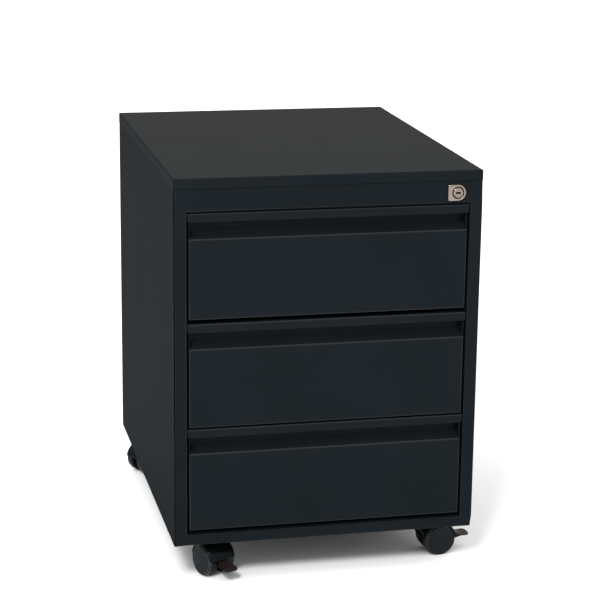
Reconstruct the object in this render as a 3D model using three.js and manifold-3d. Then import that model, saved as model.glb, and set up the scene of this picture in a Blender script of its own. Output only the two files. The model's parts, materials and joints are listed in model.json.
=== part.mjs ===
// Three-drawer steel pedestal cabinet on twin-wheel castors, in millimetres.
// +Z is up, the front faces -Y, and the origin is on the floor under the middle of the cabinet.
import * as THREE from 'three';
import { mergeVertices } from 'three/addons/utils/BufferGeometryUtils.js';
import Module from 'manifold-3d';

const wasm = await Module();
wasm.setup();

// ---------------------------------------------------------------- driving dimensions
const WIDTH = 460;
const DEPTH = 590;
const HEIGHT = 620;
const SHEET = 1.2;
const GAP = 0.3;
const OVERLAP = 0.5;
const OVERCUT = 1;
const CASTOR_HEIGHT = 64;

const COVER_SKIRT = 15;
const POST_WIDTH = 17.5;
const POST_RETURN = 15.5;
const REAR_RETURN = 12.5;
const HEADER_BOTTOM = 571.5;
const HEADER_LIP = 13;
const BOTTOM_RAIL_TOP = 81.5;
const BOTTOM_RAIL_LIP = 13.5;
const BASE_WALL = 18;
const BACK_FLANGE = 14;

const DRAWERS = 3;
const FRONT_TOPS = [569, 405, 245];
const FRONT_HEIGHT = 157.5;
const FRONT_WIDTH = 416;
const FRONT_Y = -294.5;
const FRONT_DEPTH = 18;
const STRIP_HEIGHT = 13;
const GRIP_BACK_BOTTOM = 31;
const GRIP_LIP_TOP = 38;
const GRIP_END_INSET = 2.2;

const TRAY_HALF_WIDTH = 196;
const TRAY_BACK = 262;
const TRAY_LIFT = 12;
const TRAY_HEIGHT = 120;

const RUNNER_LIFT = 16;
const TRACK_FRONT = -262;
const TRACK_BACK = 278;
const TRACK_INNER = 200;
const TRACK_WEB = 210.6;
const TRACK_RISE = 15;
const TRACK_OPEN = 26;
const SLIDE_FRONT = -270;
const SLIDE_WEB = 196.5;
const SLIDE_REACH = 208.5;
const SLIDE_DROP = 2;
const SLIDE_CLEARANCE = 0.6;
const CATCH_INNER = 198;
const CATCH_REACH = 207.5;
const CATCH_HEIGHT = 10;
const ROLLER_R = 6.5;
const ROLLER_BORE = 2.4;
const ROLLER_PIN = 2;
const ROLLER_INNER = 201;
const ROLLER_WIDTH = 7;
const ROLLER_CHAMFER = 0.7;
const FRONT_ROLLER_Y = -250;
const FRONT_ROLLER_RISE = 10;
const REAR_ROLLER_Y = 250;
const REAR_ROLLER_RISE = 8;

const LOCK_X = 191.5;
const LOCK_Z = 587;
const LOCK_HALF_HEIGHT = 12;
const LOCK_LEFT = 176.5;
const LOCK_CORNER = 2;
const LOCK_PLATE_FRONT = -297;
const BARREL_R = 9.5;
const BARREL_BACK = -277.5;
const PLUG_R = 8;
const PLUG_PROUD = 0.6;
const KEYWAY_HALF_LENGTH = 3.6;
const KEYWAY_HALF_WIDTH = 0.9;
const KEYWAY_DEPTH = 12;
const CAM_FRONT = -276.5;
const CAM_BACK = -274.5;
const CAM_BOSS_R = 6;
const CAM_EYE_R = 3.6;
const CAM_THROW = 10;
const CAM_REST_ANGLE = Math.PI / 4;
const CAM_PIN_R = 2;
const BAR_FRONT = -273.5;
const BAR_BACK = -271.5;
const BAR_INNER = 214;
const BAR_OUTER = 225.5;
const ARM_HALF = 6.2;
const ARM_MARGIN = 3;
const ARM_PLAY = 0.7;
const HOOK_INNER = 199;
const HOOK_LIFT = 14.9;
const HOOK_HEIGHT = 14;
const BAR_TAIL = 30;

const WHEEL_R = 25;
const WHEEL_WIDTH = 16.4;
const WHEEL_INSET = 7.6;
const WHEEL_BORE = 3.9;
const AXLE_R = 3.5;
const AXLE_PROUD = 0.4;
const TREAD_CHAMFER = 1.2;
const RIM_STEP = 3.6;
const RIM_CHAMFER = 0.6;
const TRAIL = 22;
const FORK_HALF = 6.5;
const WEB_HUB_R = 18;
const NECK_HALF = 11;
const NECK_REAR = -10;
const NECK_TOP = 57;
const NECK_TOE = 2;
const NECK_REAR_DROP = 10;
const NECK_TOE_DROP = 16;
const NECK_NOSE = 11;
const STEM_R = 9;
const STEM_BOTTOM = 54;
const STEM_TOP = 61.6;
const PLATE_HALF = 21;
const PLATE_CORNER = 4;
const HOOD_R = 28;
const HOOD_THICK = 1.8;
const HOOD_HALF = 24.3;
const HOOD_FRONT_ANGLE = 9;
const WEB_FRONT_ANGLE = 15;
const HOOD_REAR_ANGLE = 172;
const PEDAL_REACH = 48;
const PEDAL_BOSS_R = 4.5;
const PEDAL_PIN_R = 1.5;
const PEDAL_PIN_PLAY = 0.4;
const TOE_HALF = 10.5;
const TOE_CORNER = 6;
const TOE_BELOW = 1.6;
const TOE_ABOVE = 1.4;
const LUG_HALF = 1.75;
const LUG_PLAY = 0.5;
const LEVER_REAR = 2;
const LEVER_HEEL = 6;
const SLOT_REACH = 12;
const SEGMENTS = { arc: 12, pin: 12, small: 16, boss: 20, stem: 24, round: 32, hood: 48 };
const MERGE_DISTANCE = 1e-4;
const CASTORS = [
	{ name: 'front_left', x: -172, y: -228, heading: -67, braked: true, pressed: 8 },
	{ name: 'front_right', x: 172, y: -228, heading: 5, braked: true, pressed: 0 },
	{ name: 'rear_left', x: -179, y: 228, heading: 205, braked: false },
	{ name: 'rear_right', x: 172, y: 228, heading: 120, braked: false },
];

// ---------------------------------------------------------------- derived places
const BODY_HALF = WIDTH / 2 - SHEET - GAP;
const BODY_FRONT = -DEPTH / 2 + SHEET + GAP;
const BODY_BACK = -BODY_FRONT;
const BODY_BOTTOM = CASTOR_HEIGHT;
const BODY_TOP = HEIGHT - SHEET - 2 * GAP;
const INNER_HALF = BODY_HALF - SHEET;
const OPENING_HALF = BODY_HALF - POST_WIDTH;
const RAIL_HALF = OPENING_HALF - GAP;
const POST_BACK = BODY_FRONT + POST_RETURN;
const LUG_ROOT = TRAIL + 8;
const LUG_LOW = WHEEL_R - 10;
const LUG_HIGH = WHEEL_R + 7;
const SLOT_FRONT = TRAIL + 20.5;
const PEDAL_PIVOT_X = TRAIL + 14;
const PEDAL_PIVOT_Z = WHEEL_R + 0.5;

// ---------------------------------------------------------------- materials
function coated(colour) {
	return new THREE.MeshStandardMaterial({ color: colour, roughness: 0.5, metalness: 0.1 });
}
const shellPaint = coated(0x34393c);
const frontPaint = coated(0x262b2f);
const trayPaint = coated(0x2b3033);
const zinc = new THREE.MeshStandardMaterial({ color: 0xa9abad, roughness: 0.4, metalness: 0.9 });
const nickel = new THREE.MeshStandardMaterial({ color: 0xb9aea6, roughness: 0.25, metalness: 1 });
const nylonWhite = new THREE.MeshStandardMaterial({ color: 0xd8d6cf, roughness: 0.5, metalness: 0 });
const nylonBlack = new THREE.MeshStandardMaterial({ color: 0x141516, roughness: 0.45, metalness: 0 });
const pedalGrey = new THREE.MeshStandardMaterial({ color: 0x3a3532, roughness: 0.5, metalness: 0 });

// ---------------------------------------------------------------- solids
function solid(geometry) {
	const bare = geometry.index ? geometry.clone() : geometry;
	bare.deleteAttribute('normal');
	bare.deleteAttribute('uv');
	const merged = mergeVertices(bare, MERGE_DISTANCE);
	return new wasm.Manifold(new wasm.Mesh({
		numProp: 3,
		vertProperties: new Float32Array(merged.attributes.position.array),
		triVerts: new Uint32Array(merged.index.array),
	}));
}

function meshOf(name, body, material) {
	const cut = body.getMesh();
	const geometry = new THREE.BufferGeometry();
	geometry.setAttribute('position', new THREE.BufferAttribute(cut.vertProperties.slice(), 3));
	geometry.setIndex(new THREE.BufferAttribute(cut.triVerts.slice(), 1));
	geometry.computeVertexNormals();
	const mesh = new THREE.Mesh(geometry, material);
	mesh.name = name;
	return mesh;
}

function join(...solids) {
	return solids.reduce((whole, next) => whole.add(next));
}

function box(x0, x1, y0, y1, z0, z1) {
	const geometry = new THREE.BoxGeometry(x1 - x0, y1 - y0, z1 - z0);
	geometry.translate((x0 + x1) / 2, (y0 + y1) / 2, (z0 + z1) / 2);
	return solid(geometry);
}

function extruded(outline, depth) {
	const shape = outline instanceof THREE.Shape ? outline : new THREE.Shape(
		outline.map(([a, b]) => new THREE.Vector2(a, b)));
	return new THREE.ExtrudeGeometry(shape, { depth, bevelEnabled: false, curveSegments: SEGMENTS.arc });
}

// An outline in X and Y, raised from z0 to z1.
function prismZ(outline, z0, z1) {
	return solid(extruded(outline, z1 - z0).translate(0, 0, z0));
}

// An outline in Y and Z, drawn out from x0 to x1.
function prismX(outline, x0, x1) {
	const turn = new THREE.Matrix4().set(0, 0, 1, 0, 1, 0, 0, 0, 0, 1, 0, 0, 0, 0, 0, 1);
	return solid(extruded(outline, x1 - x0).applyMatrix4(turn).translate(x0, 0, 0));
}

// An outline in X and Z, drawn out from y0 to y1.
function prismY(outline, y0, y1) {
	return solid(extruded(outline, y1 - y0).rotateX(Math.PI / 2).translate(0, y1, 0));
}

// A round bar between two values of one axis; across holds the two other coordinates in order.
function rod(axis, radius, from, to, across, sides = 20) {
	const geometry = new THREE.CylinderGeometry(radius, radius, to - from, sides);
	const middle = (from + to) / 2;
	if (axis === 'x') {
		geometry.rotateZ(Math.PI / 2).translate(middle, across[0], across[1]);
	} else if (axis === 'y') {
		geometry.translate(across[0], middle, across[1]);
	} else {
		geometry.rotateX(Math.PI / 2).translate(across[0], across[1], middle);
	}
	return solid(geometry);
}

// The closed section of a sheet folded along a path; the thickness lies to the right of the path.
function foldedSheet(path, thickness) {
	const points = path.map(([a, b]) => new THREE.Vector2(a, b));
	const normals = points.slice(1).map((end, i) => {
		const run = end.clone().sub(points[i]).normalize();
		return new THREE.Vector2(run.y, -run.x);
	});
	const inner = points.map((point, i) => {
		const before = normals[Math.max(i - 1, 0)];
		const after = normals[Math.min(i, normals.length - 1)];
		const middle = before.clone().add(after).normalize();
		return point.clone().addScaledVector(middle, thickness / middle.dot(before));
	});
	return [...points, ...inner.reverse()].map((point) => [point.x, point.y]);
}

// A shape drawn for the left side, turned over for the right side.
function onSide(side, build) {
	const body = build();
	return side === 'left' ? body : body.mirror([1, 0, 0]);
}

// A ring turned about the Y axis from a closed profile of [radius, y] points.
function turned(profile, sides) {
	const points = [...profile, profile[0]].map(([r, y]) => new THREE.Vector2(r, y));
	return new THREE.LatheGeometry(points, sides);
}

// ---------------------------------------------------------------- shell
// The side sheet folds round the front corner into the post and round the back corner.
function sidePanel() {
	const section = foldedSheet([
		[-OPENING_HALF, POST_BACK],
		[-OPENING_HALF, BODY_FRONT],
		[-BODY_HALF, BODY_FRONT],
		[-BODY_HALF, BODY_BACK],
		[-BODY_HALF + REAR_RETURN, BODY_BACK],
	], SHEET);
	return prismZ(section, BODY_BOTTOM, BODY_TOP);
}

function backPanel() {
	const back = BODY_BACK - SHEET - GAP;
	const top = BODY_TOP - GAP;
	const bottom = BODY_BOTTOM + SHEET + GAP;
	const section = foldedSheet([
		[back - BACK_FLANGE, top],
		[back, top],
		[back, bottom],
	], SHEET);
	return prismX(section, -INNER_HALF + GAP, INNER_HALF - GAP);
}

function topCover() {
	const outer = box(-WIDTH / 2, WIDTH / 2, -DEPTH / 2, DEPTH / 2, HEIGHT - COVER_SKIRT, HEIGHT);
	const hollow = box(
		-WIDTH / 2 + SHEET, WIDTH / 2 - SHEET,
		-DEPTH / 2 + SHEET, DEPTH / 2 - SHEET,
		HEIGHT - COVER_SKIRT - OVERCUT, HEIGHT - SHEET);
	return outer.subtract(hollow);
}

function headerRail() {
	const section = foldedSheet([
		[BODY_FRONT + HEADER_LIP, HEADER_BOTTOM],
		[BODY_FRONT, HEADER_BOTTOM],
		[BODY_FRONT, BODY_TOP],
		[BODY_FRONT + HEADER_LIP, BODY_TOP],
	], SHEET);
	const hole = rod('y', BARREL_R + GAP,
		BODY_FRONT - OVERCUT, BODY_FRONT + SHEET + OVERCUT, [LOCK_X, LOCK_Z], SEGMENTS.round);
	return prismX(section, -RAIL_HALF, RAIL_HALF).subtract(hole);
}

// The floor of the shell, with the bottom rail folded up between the posts.
function basePan() {
	const half = INNER_HALF - GAP;
	const behindPost = POST_BACK + OVERLAP;
	const back = BODY_BACK - 2 * SHEET - 2 * GAP;
	const floorTop = BODY_BOTTOM + SHEET;
	const wallTop = BODY_BOTTOM + BASE_WALL;
	const railSection = foldedSheet([
		[behindPost, BODY_BOTTOM],
		[BODY_FRONT, BODY_BOTTOM],
		[BODY_FRONT, BOTTOM_RAIL_TOP],
		[BODY_FRONT + BOTTOM_RAIL_LIP, BOTTOM_RAIL_TOP],
	], SHEET);
	return join(
		prismX(railSection, -RAIL_HALF, RAIL_HALF),
		box(-half, half, behindPost, back, BODY_BOTTOM, floorTop),
		box(-RAIL_HALF, RAIL_HALF, behindPost - OVERLAP, back, BODY_BOTTOM, floorTop),
		box(-half, half, back - SHEET, back, BODY_BOTTOM, wallTop),
		box(-half, -half + SHEET, behindPost, back, BODY_BOTTOM, wallTop),
		box(half - SHEET, half, behindPost, back, BODY_BOTTOM, wallTop));
}

// ---------------------------------------------------------------- drawer runners
function frontBottom(index) {
	return FRONT_TOPS[index] - FRONT_HEIGHT;
}

function runnerBase(index) {
	return frontBottom(index) + RUNNER_LIFT;
}

// The top of the moving runner's flange.
function slideTop(index) {
	return runnerBase(index) + TRACK_RISE + 2 * SHEET + SLIDE_CLEARANCE;
}

// The fixed member: a channel open to the drawer, on two feet from the side panel, with a pin.
function cabinetRunner(base) {
	const foot = INNER_HALF - GAP;
	const top = base + TRACK_RISE;
	return join(
		box(-TRACK_WEB - SHEET, -TRACK_WEB, TRACK_FRONT, TRACK_BACK, base, top + SHEET),
		box(-TRACK_WEB - SHEET, -TRACK_INNER, TRACK_FRONT, TRACK_BACK, base, base + SHEET),
		box(-TRACK_WEB - SHEET, -TRACK_INNER, TRACK_FRONT + TRACK_OPEN, TRACK_BACK, top, top + SHEET),
		box(-foot, -TRACK_WEB, TRACK_FRONT, TRACK_FRONT + SHEET, base, top),
		box(-foot, -TRACK_WEB, TRACK_BACK - SHEET, TRACK_BACK, base, top),
		rod('x', ROLLER_PIN, -TRACK_WEB - OVERLAP, -TRACK_INNER,
			[FRONT_ROLLER_Y, base + FRONT_ROLLER_RISE], SEGMENTS.pin));
}

// The moving member: a web on the tray's side, and a flange over the fixed roller with a catch turned up
// at its front end.
function drawerRunner(base) {
	const flange = base + TRACK_RISE + SHEET + SLIDE_CLEARANCE;
	return join(
		box(-SLIDE_WEB - SHEET, -SLIDE_WEB, SLIDE_FRONT, TRAY_BACK, base - SLIDE_DROP, flange + SHEET),
		box(-SLIDE_REACH, -SLIDE_WEB, SLIDE_FRONT, TRAY_BACK, flange, flange + SHEET),
		box(-CATCH_REACH, -CATCH_INNER, SLIDE_FRONT, SLIDE_FRONT + SHEET,
			flange, flange + SHEET + CATCH_HEIGHT),
		rod('x', ROLLER_PIN, -SLIDE_REACH, -SLIDE_WEB - OVERLAP,
			[REAR_ROLLER_Y, base + REAR_ROLLER_RISE], SEGMENTS.pin));
}

function roller(y, z) {
	const half = ROLLER_WIDTH / 2;
	const ring = turned([
		[ROLLER_BORE, -half],
		[ROLLER_R - ROLLER_CHAMFER, -half],
		[ROLLER_R, -half + ROLLER_CHAMFER],
		[ROLLER_R, half - ROLLER_CHAMFER],
		[ROLLER_R - ROLLER_CHAMFER, half],
		[ROLLER_BORE, half],
	], SEGMENTS.small);
	ring.rotateZ(Math.PI / 2).translate(-ROLLER_INNER - half, y, z);
	return solid(ring);
}

// ---------------------------------------------------------------- drawers
// One folded sheet: front, sloped lip, back of the grip channel, top and the strip hanging over it.
function drawerFront(top) {
	const half = FRONT_WIDTH / 2;
	const bottom = top - FRONT_HEIGHT;
	const back = FRONT_Y + FRONT_DEPTH;
	const section = foldedSheet([
		[back, bottom],
		[FRONT_Y, bottom],
		[FRONT_Y, top - GRIP_LIP_TOP],
		[back, top - GRIP_BACK_BOTTOM],
		[back, top - SHEET],
		[FRONT_Y + SHEET, top - SHEET],
		[FRONT_Y + SHEET, top - STRIP_HEIGHT],
	], SHEET);
	const panEnd = [
		[FRONT_Y, bottom],
		[back, bottom],
		[back, top - GRIP_BACK_BOTTOM - SHEET],
		[FRONT_Y, top - GRIP_LIP_TOP - SHEET / 2],
	];
	const gripEnd = [
		[FRONT_Y + 0.6, top - GRIP_LIP_TOP - SHEET / 2],
		[back + SHEET / 2, top - GRIP_BACK_BOTTOM - SHEET / 2],
		[back + SHEET / 2, top - SHEET / 2],
		[FRONT_Y + 0.6, top - SHEET / 2],
	];
	const ends = [-1, 1].flatMap((side) => {
		const outer = side * half;
		const pan = [outer, outer - side * SHEET].sort((a, b) => a - b);
		const grip = [outer - side * GRIP_END_INSET, outer - side * (GRIP_END_INSET + SHEET)];
		grip.sort((a, b) => a - b);
		return [prismX(panEnd, ...pan), prismX(gripEnd, ...grip)];
	});
	return join(prismX(section, -half, half), ...ends);
}

// An open box of sheet.
function drawerTray(bottom) {
	const floor = bottom + TRAY_LIFT;
	const front = FRONT_Y + FRONT_DEPTH + SHEET + GAP;
	const outer = box(-TRAY_HALF_WIDTH, TRAY_HALF_WIDTH, front, TRAY_BACK, floor, floor + TRAY_HEIGHT);
	const hollow = box(
		-TRAY_HALF_WIDTH + SHEET, TRAY_HALF_WIDTH - SHEET,
		front + SHEET, TRAY_BACK - SHEET,
		floor + SHEET, floor + TRAY_HEIGHT + OVERCUT);
	return outer.subtract(hollow);
}

// ---------------------------------------------------------------- lock
// A plate with a square left end and a round right end, and a barrel behind it through the rail.
function lockHousing() {
	const low = LOCK_Z - LOCK_HALF_HEIGHT;
	const high = LOCK_Z + LOCK_HALF_HEIGHT;
	const corner = LOCK_CORNER;
	const inner = LOCK_LEFT + corner;
	const plate = new THREE.Shape();
	plate.moveTo(inner, low);
	plate.lineTo(LOCK_X, low);
	plate.absarc(LOCK_X, LOCK_Z, LOCK_HALF_HEIGHT, -Math.PI / 2, Math.PI / 2, false);
	plate.lineTo(inner, high);
	plate.absarc(inner, high - corner, corner, Math.PI / 2, Math.PI, false);
	plate.lineTo(LOCK_LEFT, low + corner);
	plate.absarc(inner, low + corner, corner, Math.PI, 1.5 * Math.PI, false);
	const plateBack = BODY_FRONT - GAP;
	const centre = [LOCK_X, LOCK_Z];
	return join(
		prismY(plate, LOCK_PLATE_FRONT, plateBack),
		rod('y', BARREL_R, plateBack - OVERLAP, BARREL_BACK, centre, SEGMENTS.round),
	).subtract(rod('y', PLUG_R + GAP, LOCK_PLATE_FRONT - OVERCUT, BARREL_BACK + OVERCUT, centre,
		SEGMENTS.round));
}

function camPinPlace() {
	return [
		LOCK_X + CAM_THROW * Math.cos(CAM_REST_ANGLE),
		LOCK_Z + CAM_THROW * Math.sin(CAM_REST_ANGLE),
	];
}

// The plug with its keyway, and the cam on its back end.
function lockPlug() {
	const front = LOCK_PLATE_FRONT - PLUG_PROUD;
	const centre = [LOCK_X, LOCK_Z];
	const keyway = box(
		LOCK_X - KEYWAY_HALF_LENGTH, LOCK_X + KEYWAY_HALF_LENGTH,
		front - OVERCUT, front + KEYWAY_DEPTH,
		LOCK_Z - KEYWAY_HALF_WIDTH, LOCK_Z + KEYWAY_HALF_WIDTH);
	const web = solid(new THREE.BoxGeometry(CAM_THROW, CAM_BACK - CAM_FRONT, 2 * CAM_EYE_R)
		.translate(CAM_THROW / 2, 0, 0)
		.rotateY(-CAM_REST_ANGLE)
		.translate(LOCK_X, (CAM_FRONT + CAM_BACK) / 2, LOCK_Z));
	return join(
		rod('y', PLUG_R, front, CAM_FRONT, centre, SEGMENTS.round).subtract(keyway),
		rod('y', CAM_BOSS_R, CAM_FRONT - OVERLAP, CAM_BACK, centre),
		web,
		rod('y', CAM_EYE_R, CAM_FRONT, CAM_BACK, camPinPlace()),
		rod('y', CAM_PIN_R, CAM_BACK - OVERLAP, BAR_BACK + OVERCUT, camPinPlace(), SEGMENTS.small));
}

// A flat bar behind the right post, with a slotted arm on the cam's pin.
function lockingBar() {
	const slotHalf = CAM_PIN_R + ARM_PLAY;
	const [pinX, pinZ] = camPinPlace();
	const armLeft = pinX - CAM_PIN_R - ARM_MARGIN;
	const slotRight = LOCK_X + CAM_THROW + slotHalf;
	const lowest = slideTop(DRAWERS - 1) - BAR_TAIL;
	return join(
		box(BAR_INNER, BAR_OUTER, BAR_FRONT, BAR_BACK, lowest, pinZ + ARM_HALF),
		box(armLeft, BAR_INNER + OVERLAP, BAR_FRONT, BAR_BACK, pinZ - ARM_HALF, pinZ + ARM_HALF),
	).subtract(box(
		pinX - slotHalf, slotRight,
		BAR_FRONT - OVERCUT, BAR_BACK + OVERCUT,
		pinZ - slotHalf, pinZ + slotHalf));
}

// A hook on the bar, above the catch of a drawer's runner; the bar drops it in front of the catch.
function lockingHook(index) {
	const low = slideTop(index) + HOOK_LIFT;
	return box(HOOK_INNER, BAR_INNER, BAR_FRONT, BAR_BACK, low, low + HOOK_HEIGHT);
}

// ---------------------------------------------------------------- castors
// Castors are drawn about their swivel axis, with the axle on Y and the wheel trailing to +X.
function castorPlate() {
	const near = PLATE_HALF - PLATE_CORNER;
	return prismZ([
		[-PLATE_HALF, -near],
		[-near, -PLATE_HALF],
		[near, -PLATE_HALF],
		[PLATE_HALF, -near],
		[PLATE_HALF, near],
		[near, PLATE_HALF],
		[-near, PLATE_HALF],
		[-PLATE_HALF, near],
	], STEM_TOP + GAP, CASTOR_HEIGHT - GAP);
}

// A closed band of an arc about the axle, in X and Z, between two angles in degrees.
function arcBand(outer, inner, from, to, farSide) {
	const start = THREE.MathUtils.degToRad(from);
	const end = THREE.MathUtils.degToRad(to);
	const shape = new THREE.Shape();
	shape.absarc(TRAIL, WHEEL_R, outer, start, end, false);
	if (farSide) {
		shape.absarc(TRAIL, WHEEL_R, inner, end, start + 2 * Math.PI, false);
	} else {
		shape.absarc(TRAIL, WHEEL_R, inner, end, start, true);
	}
	return shape;
}

// The neck that carries the stem, cut to sit on the hood.
function castorNeck() {
	const crown = WHEEL_R + HOOD_R;
	const block = prismY([
		[NECK_REAR, NECK_TOP - NECK_REAR_DROP],
		[NECK_TOE, NECK_TOP - NECK_TOE_DROP],
		[NECK_REAR + TRAIL - NECK_TOE, crown - 5],
		[TRAIL, crown - 1],
		[NECK_NOSE, NECK_TOP],
		[NECK_REAR, NECK_TOP],
	], -NECK_HALF, NECK_HALF);
	const clear = NECK_HALF + OVERCUT;
	return block.subtract(rod('y', HOOD_R - OVERLAP, -clear, clear, [TRAIL, WHEEL_R], SEGMENTS.hood));
}

// The hood, its web and stem, the axle, and on a braked castor the pedal's lug and pin.
function castorFork(braked) {
	const axleHalf = WHEEL_INSET + WHEEL_WIDTH + AXLE_PROUD;
	const hood = arcBand(HOOD_R, HOOD_R - HOOD_THICK, HOOD_FRONT_ANGLE, HOOD_REAR_ANGLE, false);
	const web = arcBand(HOOD_R - OVERLAP, WEB_HUB_R, WEB_FRONT_ANGLE, HOOD_REAR_ANGLE, true);
	let fork = join(
		prismY(web, -FORK_HALF, FORK_HALF),
		prismY(hood, -HOOD_HALF, HOOD_HALF),
		castorNeck(),
		rod('z', STEM_R, STEM_BOTTOM, STEM_TOP, [0, 0], SEGMENTS.stem));
	if (braked) {
		const cheek = (from, to) => box(LUG_ROOT, TRAIL + HOOD_R + OVERCUT, from, to, LUG_LOW, LUG_HIGH);
		const pin = [PEDAL_PIVOT_X, PEDAL_PIVOT_Z];
		fork = fork
			.subtract(cheek(LUG_HALF, FORK_HALF + OVERCUT))
			.subtract(cheek(-FORK_HALF - OVERCUT, -LUG_HALF));
		fork = join(fork, rod('y', PEDAL_PIN_R, -FORK_HALF, FORK_HALF, pin, SEGMENTS.pin));
	}
	return join(fork, rod('y', AXLE_R, -axleHalf, axleHalf, [TRAIL, WHEEL_R], SEGMENTS.small));
}

// A wheel drawn on the +Y side, with its stepped face outwards.
function castorWheel(side) {
	const rim = WHEEL_R;
	const width = WHEEL_WIDTH;
	const ring = turned([
		[WHEEL_BORE, 0],
		[rim - TREAD_CHAMFER, 0],
		[rim, TREAD_CHAMFER],
		[rim, width - 2 * TREAD_CHAMFER],
		[rim - TREAD_CHAMFER, width - TREAD_CHAMFER],
		[rim - RIM_STEP, width - TREAD_CHAMFER],
		[rim - RIM_STEP - RIM_CHAMFER, width],
		[WHEEL_BORE, width],
	], SEGMENTS.round);
	ring.translate(TRAIL, WHEEL_INSET, WHEEL_R);
	const wheel = solid(ring);
	return side > 0 ? wheel : wheel.mirror([0, 1, 0]);
}

// The pedal's toe, a rounded paddle in X and Y.
function toeOutline(tip) {
	const root = TRAIL + HOOD_R + 2;
	const round = tip - TOE_CORNER;
	const offset = TOE_HALF - TOE_CORNER;
	const toe = new THREE.Shape();
	toe.moveTo(root, -TOE_HALF + 2);
	toe.lineTo(round, -TOE_HALF);
	toe.absarc(round, -offset, TOE_CORNER, -Math.PI / 2, 0, false);
	toe.absarc(round, offset, TOE_CORNER, 0, Math.PI / 2, false);
	toe.lineTo(root, TOE_HALF - 2);
	return toe;
}

// A lever that straddles the lug, narrow between the wheels and wide at the toe.
function brakePedal(pressed) {
	const [u, w] = [PEDAL_PIVOT_X, PEDAL_PIVOT_Z];
	const tip = TRAIL + PEDAL_REACH;
	const slotHalf = LUG_HALF + LUG_PLAY;
	const clear = FORK_HALF + OVERCUT;
	const lever = prismY([
		[u - LEVER_REAR, w - 4],
		[u + LEVER_HEEL, w - 4.6],
		[tip - 3, w - 2.6],
		[tip - 1, w + 0.6],
		[tip - 4, w + 1.6],
		[u - LEVER_REAR, w + 3.6],
	], -FORK_HALF, FORK_HALF);
	const turn = new THREE.Matrix4().makeTranslation(u, 0, w)
		.multiply(new THREE.Matrix4().makeRotationY(THREE.MathUtils.degToRad(pressed)))
		.multiply(new THREE.Matrix4().makeTranslation(-u, 0, -w));
	return join(
		lever,
		rod('y', PEDAL_BOSS_R, -FORK_HALF, FORK_HALF, [u, w], SEGMENTS.boss),
		prismZ(toeOutline(tip), w - TOE_BELOW, w + TOE_ABOVE),
	).subtract(box(u - SLOT_REACH, SLOT_FRONT, -slotHalf, slotHalf, w - SLOT_REACH, w + SLOT_REACH))
		.subtract(rod('y', PEDAL_PIN_R + PEDAL_PIN_PLAY, -clear, clear, [u, w], SEGMENTS.pin))
		.transform(turn.elements);
}

// ---------------------------------------------------------------- assembly
const cabinet = new THREE.Group();
cabinet.name = 'pedestal_cabinet';

function put(parent, name, body, material) {
	parent.add(meshOf(name, body, material));
}

for (const side of ['left', 'right']) {
	put(cabinet, `${side}_side_panel`, onSide(side, sidePanel), shellPaint);
}
put(cabinet, 'back_panel', backPanel(), shellPaint);
put(cabinet, 'top_cover', topCover(), shellPaint);
put(cabinet, 'base_pan', basePan(), shellPaint);
put(cabinet, 'header_rail', headerRail(), shellPaint);

for (let index = 0; index < DRAWERS; index += 1) {
	const number = index + 1;
	const base = runnerBase(index);
	const drawer = new THREE.Group();
	cabinet.add(drawer);
	put(drawer, `drawer_front_${number}`, drawerFront(FRONT_TOPS[index]), frontPaint);
	put(drawer, `drawer_tray_${number}`, drawerTray(frontBottom(index)), trayPaint);
	put(cabinet, `locking_hook_${number}`, lockingHook(index), zinc);
	for (const side of ['left', 'right']) {
		put(cabinet, `cabinet_runner_${side}_${number}`, onSide(side, () => cabinetRunner(base)), zinc);
		put(cabinet, `cabinet_roller_${side}_${number}`,
			onSide(side, () => roller(FRONT_ROLLER_Y, base + FRONT_ROLLER_RISE)), nylonWhite);
		put(drawer, `drawer_runner_${side}_${number}`, onSide(side, () => drawerRunner(base)), zinc);
		put(drawer, `drawer_roller_${side}_${number}`,
			onSide(side, () => roller(REAR_ROLLER_Y, base + REAR_ROLLER_RISE)), nylonWhite);
	}
}

put(cabinet, 'lock_housing', lockHousing(), nickel);
put(cabinet, 'lock_plug', lockPlug(), nickel);
put(cabinet, 'locking_bar', lockingBar(), zinc);

for (const { name, x, y, heading, braked, pressed } of CASTORS) {
	const castor = new THREE.Group();
	castor.position.set(x, y, 0);
	put(castor, `castor_plate_${name}`, castorPlate(), zinc);
	const swivel = new THREE.Group();
	swivel.rotation.z = THREE.MathUtils.degToRad(heading);
	castor.add(swivel);
	put(swivel, `castor_fork_${name}`, castorFork(braked), nylonBlack);
	put(swivel, `castor_wheel_${name}_a`, castorWheel(1), nylonBlack);
	put(swivel, `castor_wheel_${name}_b`, castorWheel(-1), nylonBlack);
	if (braked) {
		put(swivel, `brake_pedal_${name}`, brakePedal(pressed), pedalGrey);
	}
	cabinet.add(castor);
}

cabinet.updateMatrixWorld(true);
export default cabinet;
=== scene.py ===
"""Steel three-drawer pedestal cabinet on twin-wheel castors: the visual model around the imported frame.

Lengths inside the modelling functions are in millimetres and are scaled to metres when a mesh is made.
"""
import json
import math

import bmesh
import bpy
from mathutils import Matrix, Vector


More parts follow.
